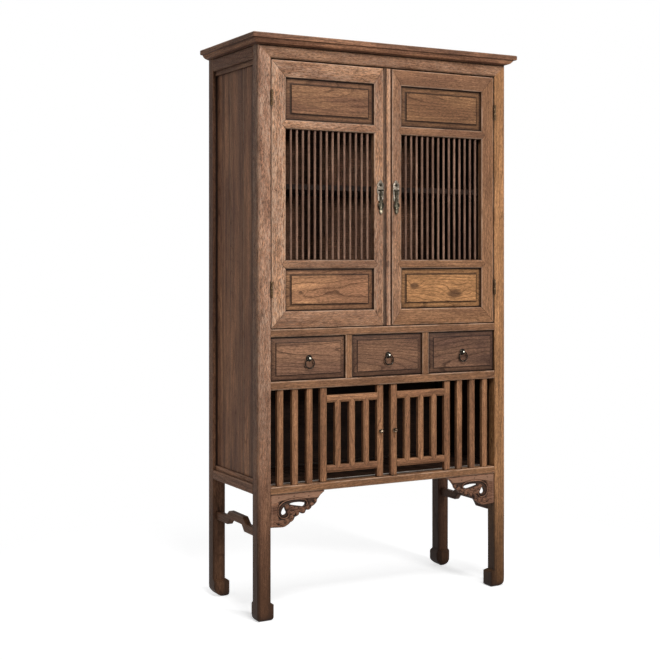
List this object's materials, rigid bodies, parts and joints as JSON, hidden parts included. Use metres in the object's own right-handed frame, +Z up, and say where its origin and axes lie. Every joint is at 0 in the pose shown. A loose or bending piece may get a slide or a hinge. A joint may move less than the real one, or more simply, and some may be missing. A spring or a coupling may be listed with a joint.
{
  "type": "chinese book cabinet",
  "caption": "Tall cabinet with spindle-latticed cupboard doors over drawers and a barred lower compartment, on horse-hoof feet with pierced spandrels.",
  "frame": {"origin": "centre of the bounding box on the floor, under the middle of the cornice", "axes": "+Z up, the doors face -Y, +X to the right of someone who faces them"},
  "size_m": [1.042, 0.437, 1.9],
  "materials": {
    "front_wood": "waxed antique elm, worn at the edges",
    "spindle_wood": "waxed elm spindles",
    "carcase_wood": "darker waxed elm",
    "inner_wood": "dry unwaxed inner boards",
    "aged_brass": "old brass, dark in the hollows"
  },
  "bodies": {
    "carcase": {"back_panels": "inner_wood", "back_rails": "carcase_wood", "bottom_rail_front": "front_wood", "compartment_ceiling": "inner_wood", "cornice": "carcase_wood", "cupboard_floor": "inner_wood", "cupboard_shelf": "inner_wood", "drawer_dividers": "front_wood", "drawer_rail_lower": "front_wood", "drawer_rail_upper": "front_wood", "drawer_runners": "inner_wood", "fixed_bars": "front_wood", "fixed_hinge_leaves": "aged_brass", "floor_slats": "inner_wood", "post_back_left": "carcase_wood", "post_back_right": "carcase_wood", "post_front_left": "carcase_wood", "post_front_right": "carcase_wood", "side_panel_left": "carcase_wood", "side_panel_right": "carcase_wood", "side_rails_left": "carcase_wood", "side_rails_right": "carcase_wood", "spandrel_left": "front_wood", "spandrel_right": "front_wood", "stretcher_left": "carcase_wood", "stretcher_right": "carcase_wood", "top_board": "carcase_wood", "top_rail_front": "front_wood"},
    "left_door": {"left_door_frame": "front_wood", "left_door_panels": "front_wood", "left_door_spindles": "spindle_wood", "left_door_hinge_leaves": "aged_brass", "left_door_pull_plate": "aged_brass"},
    "right_door": {"right_door_frame": "front_wood", "right_door_panels": "front_wood", "right_door_spindles": "spindle_wood", "right_door_hinge_leaves": "aged_brass", "right_door_pull_plate": "aged_brass", "right_door_centre_strip": "front_wood"},
    "left_pull": {"left_door_pull": "aged_brass"},
    "right_pull": {"right_door_pull": "aged_brass"},
    "left_lower_door": {"left_lower_door_frame": "front_wood", "left_lower_door_bars": "front_wood", "left_lower_door_knob": "aged_brass"},
    "right_lower_door": {"right_lower_door_frame": "front_wood", "right_lower_door_bars": "front_wood", "right_lower_door_knob": "aged_brass"},
    "left_drawer": {"left_drawer_front": "front_wood", "left_drawer_box": "inner_wood", "left_drawer_boss": "aged_brass"},
    "left_ring": {"left_drawer_ring": "aged_brass"},
    "middle_drawer": {"middle_drawer_front": "front_wood", "middle_drawer_box": "inner_wood", "middle_drawer_boss": "aged_brass"},
    "middle_ring": {"middle_drawer_ring": "aged_brass"},
    "right_drawer": {"right_drawer_front": "front_wood", "right_drawer_box": "inner_wood", "right_drawer_boss": "aged_brass"},
    "right_ring": {"right_drawer_ring": "aged_brass"}
  },
  "joints": [
    {"name": "left_door_hinge", "type": "hinge", "parent": "carcase", "child": "left_door", "pos_m": [-0.4425, -0.1913, 1.3835], "axis": [0, 0, -1], "range_deg": [0, 110]},
    {"name": "right_door_hinge", "type": "hinge", "parent": "carcase", "child": "right_door", "pos_m": [0.4425, -0.1913, 1.3835], "axis": [0, 0, 1], "range_deg": [0, 110]},
    {"name": "left_lower_door_pivot", "type": "hinge", "parent": "carcase", "child": "left_lower_door", "pos_m": [-0.246, -0.1735, 0.589], "axis": [0, 0, -1], "range_deg": [0, 100]},
    {"name": "right_lower_door_pivot", "type": "hinge", "parent": "carcase", "child": "right_lower_door", "pos_m": [0.246, -0.1735, 0.589], "axis": [0, 0, 1], "range_deg": [0, 100]},
    {"name": "left_pull_swing", "type": "hinge", "parent": "left_door", "child": "left_pull", "pos_m": [-0.031, -0.193, 1.405], "axis": [-1, 0, 0], "range_deg": [0, 90]},
    {"name": "right_pull_swing", "type": "hinge", "parent": "right_door", "child": "right_pull", "pos_m": [0.031, -0.193, 1.405], "axis": [-1, 0, 0], "range_deg": [0, 90]},
    {"name": "left_drawer_slide", "type": "slide", "parent": "carcase", "child": "left_drawer", "axis": [0, -1, 0], "range_m": [0, 0.24]},
    {"name": "left_ring_swing", "type": "hinge", "parent": "left_drawer", "child": "left_ring", "pos_m": [-0.30467, -0.1945, 0.846], "axis": [-1, 0, 0], "range_deg": [0, 95]},
    {"name": "middle_drawer_slide", "type": "slide", "parent": "carcase", "child": "middle_drawer", "axis": [0, -1, 0], "range_m": [0, 0.24]},
    {"name": "middle_ring_swing", "type": "hinge", "parent": "middle_drawer", "child": "middle_ring", "pos_m": [0, -0.1945, 0.846], "axis": [-1, 0, 0], "range_deg": [0, 95]},
    {"name": "right_drawer_slide", "type": "slide", "parent": "carcase", "child": "right_drawer", "axis": [0, -1, 0], "range_m": [0, 0.24]},
    {"name": "right_ring_swing", "type": "hinge", "parent": "right_drawer", "child": "right_ring", "pos_m": [0.30467, -0.1945, 0.846], "axis": [-1, 0, 0], "range_deg": [0, 95]}
  ]
}
